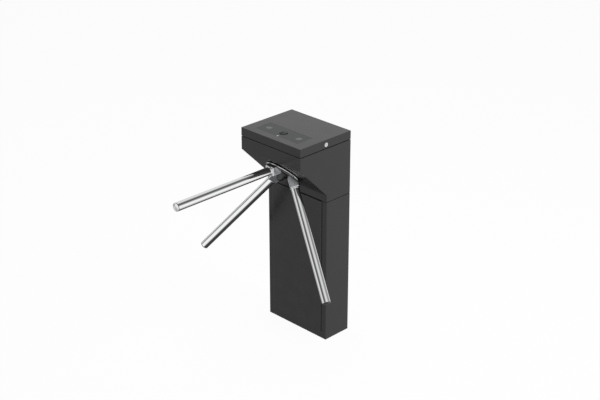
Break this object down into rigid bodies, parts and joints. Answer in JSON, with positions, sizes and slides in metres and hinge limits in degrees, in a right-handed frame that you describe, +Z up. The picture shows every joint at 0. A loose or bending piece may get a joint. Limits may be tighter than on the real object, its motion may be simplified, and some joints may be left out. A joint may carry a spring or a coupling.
{
  "type": "tripod turnstile",
  "caption": "Waist-high turnstile: slim sheet-metal column, overhanging head with sloped front, chrome hub with angled arms, hinged lid with indicator window, indexing mechanism inside.",
  "frame": {"origin": "centre of the four floor anchor holes, at floor level", "axes": "+Z up; -Y towards the front, where hub and arms stand out of the slope; +X towards the side with the lid lock"},
  "size_m": [0.827, 0.8571, 1],
  "materials": {
    "cabinet_paint": "satin",
    "frame_paint": "matte",
    "zinc_plate": "satin",
    "machined_steel": "satin",
    "bearing_steel": "polished",
    "cast_housing": "matte",
    "tripod_chrome": "polished",
    "lock_chrome": "polished",
    "window_acrylic": "gloss",
    "light_lens": "gloss",
    "black_plastic": "matte",
    "circuit_board": "matte",
    "solenoid_yoke": "satin",
    "foam_rubber": "matte",
    "cable_jacket": "matte",
    "pillar_plastic": "matte",
    "battery_case": "matte"
  },
  "bodies": {
    "pedestal": {"base_plate": "frame_paint", "frame_uprights": "frame_paint", "neck_plate": "frame_paint", "column_shell": "cabinet_paint", "service_panel": "cabinet_paint", "panel_seal": "foam_rubber", "panel_fasteners": "zinc_plate", "head_shell": "cabinet_paint", "neck_fasteners": "zinc_plate", "lid_gasket": "foam_rubber", "mechanism_plate": "zinc_plate", "plate_fasteners": "zinc_plate", "bearing_housing": "cast_housing", "mechanism_bolts": "zinc_plate", "bearing_outer_rings": "bearing_steel", "spacer_pillars": "machined_steel", "rear_plate": "zinc_plate", "pivot_posts": "machined_steel", "return_springs": "machined_steel", "entry_solenoid": "solenoid_yoke", "exit_solenoid": "solenoid_yoke", "rotation_sensor": "black_plastic", "control_board": "circuit_board", "board_pillars": "pillar_plastic", "equipment_plate": "zinc_plate", "power_supply": "zinc_plate", "battery": "battery_case", "cable_harness": "cable_jacket", "lock_keeper": "zinc_plate", "hinge_lower_leaf": "cabinet_paint", "hinge_pin": "machined_steel"},
    "lid": {"lid_shell": "cabinet_paint", "display_window": "window_acrylic", "display_carrier": "black_plastic", "led_board": "circuit_board", "status_lights": "light_lens", "hinge_upper_leaf": "cabinet_paint", "lock_barrel": "lock_chrome", "lock_nut": "zinc_plate"},
    "lock": {"lock_plug": "lock_chrome", "lock_cam": "zinc_plate"},
    "tripod": {"hub_disc": "tripod_chrome", "hub_body": "tripod_chrome", "arm_a": "tripod_chrome", "arm_b": "tripod_chrome", "arm_c": "tripod_chrome", "arm_caps": "tripod_chrome", "arm_screws": "machined_steel", "main_shaft": "machined_steel", "bearing_inner_rings": "bearing_steel", "index_cam": "machined_steel", "locking_wheel": "machined_steel", "encoder_disc": "black_plastic", "shaft_nut": "zinc_plate"},
    "detent_lever": {"detent_lever": "machined_steel"},
    "detent_roller": {"detent_roller": "bearing_steel"},
    "entry_pawl": {"entry_pawl": "machined_steel"},
    "exit_pawl": {"exit_pawl": "machined_steel"},
    "entry_plunger": {"entry_plunger": "machined_steel"},
    "exit_plunger": {"exit_plunger": "machined_steel"}
  },
  "joints": [
    {"name": "tripod_spin", "type": "hinge", "parent": "pedestal", "child": "tripod", "pos_m": [0, -0.16033, 0.81783], "axis": [0, -0.7071, -0.7071], "continuous": true},
    {"name": "lid_hinge", "type": "hinge", "parent": "pedestal", "child": "lid", "pos_m": [-0.1885, -0.0825, 0.9595], "axis": [0, -1, 0], "range_deg": [0, 105]},
    {"name": "lock_turn", "type": "hinge", "parent": "lid", "child": "lock", "pos_m": [0.185, -0.0825, 0.978], "axis": [1, 0, 0], "range_deg": [0, 90]},
    {"name": "detent_swing", "type": "hinge", "parent": "pedestal", "child": "detent_lever", "pos_m": [-0.066, -0.08078, 0.83232], "axis": [0, -0.7071, -0.7071], "range_deg": [0, 8], "stiffness_Nm_per_rad": 20, "springref_deg": -2.86},
    {"name": "detent_roller_spin", "type": "hinge", "parent": "detent_lever", "child": "detent_roller", "pos_m": [-0.0535, -0.10659, 0.87157], "axis": [0, -0.7071, -0.7071], "continuous": true},
    {"name": "entry_pawl_swing", "type": "hinge", "parent": "pedestal", "child": "entry_pawl", "pos_m": [0.072, -0.10871, 0.89349], "axis": [0, 0.7071, 0.7071], "range_deg": [0, 15], "stiffness_Nm_per_rad": 0.4, "springref_deg": -5.73},
    {"name": "exit_pawl_swing", "type": "hinge", "parent": "pedestal", "child": "exit_pawl", "pos_m": [-0.072, -0.10871, 0.89349], "axis": [0, -0.7071, -0.7071], "range_deg": [0, 15], "stiffness_Nm_per_rad": 0.4, "springref_deg": -5.73},
    {"name": "entry_plunger_slide", "type": "slide", "parent": "pedestal", "child": "entry_plunger", "axis": [1, 0, 0], "range_m": [0, 0.0087]},
    {"name": "exit_plunger_slide", "type": "slide", "parent": "pedestal", "child": "exit_plunger", "axis": [-1, 0, 0], "range_m": [0, 0.0087]}
  ],
  "couplings": [
    {"joint": "entry_plunger_slide", "follows": "entry_pawl_swing", "m_per_rad": 0.032905},
    {"joint": "exit_plunger_slide", "follows": "exit_pawl_swing", "m_per_rad": 0.032905}
  ]
}
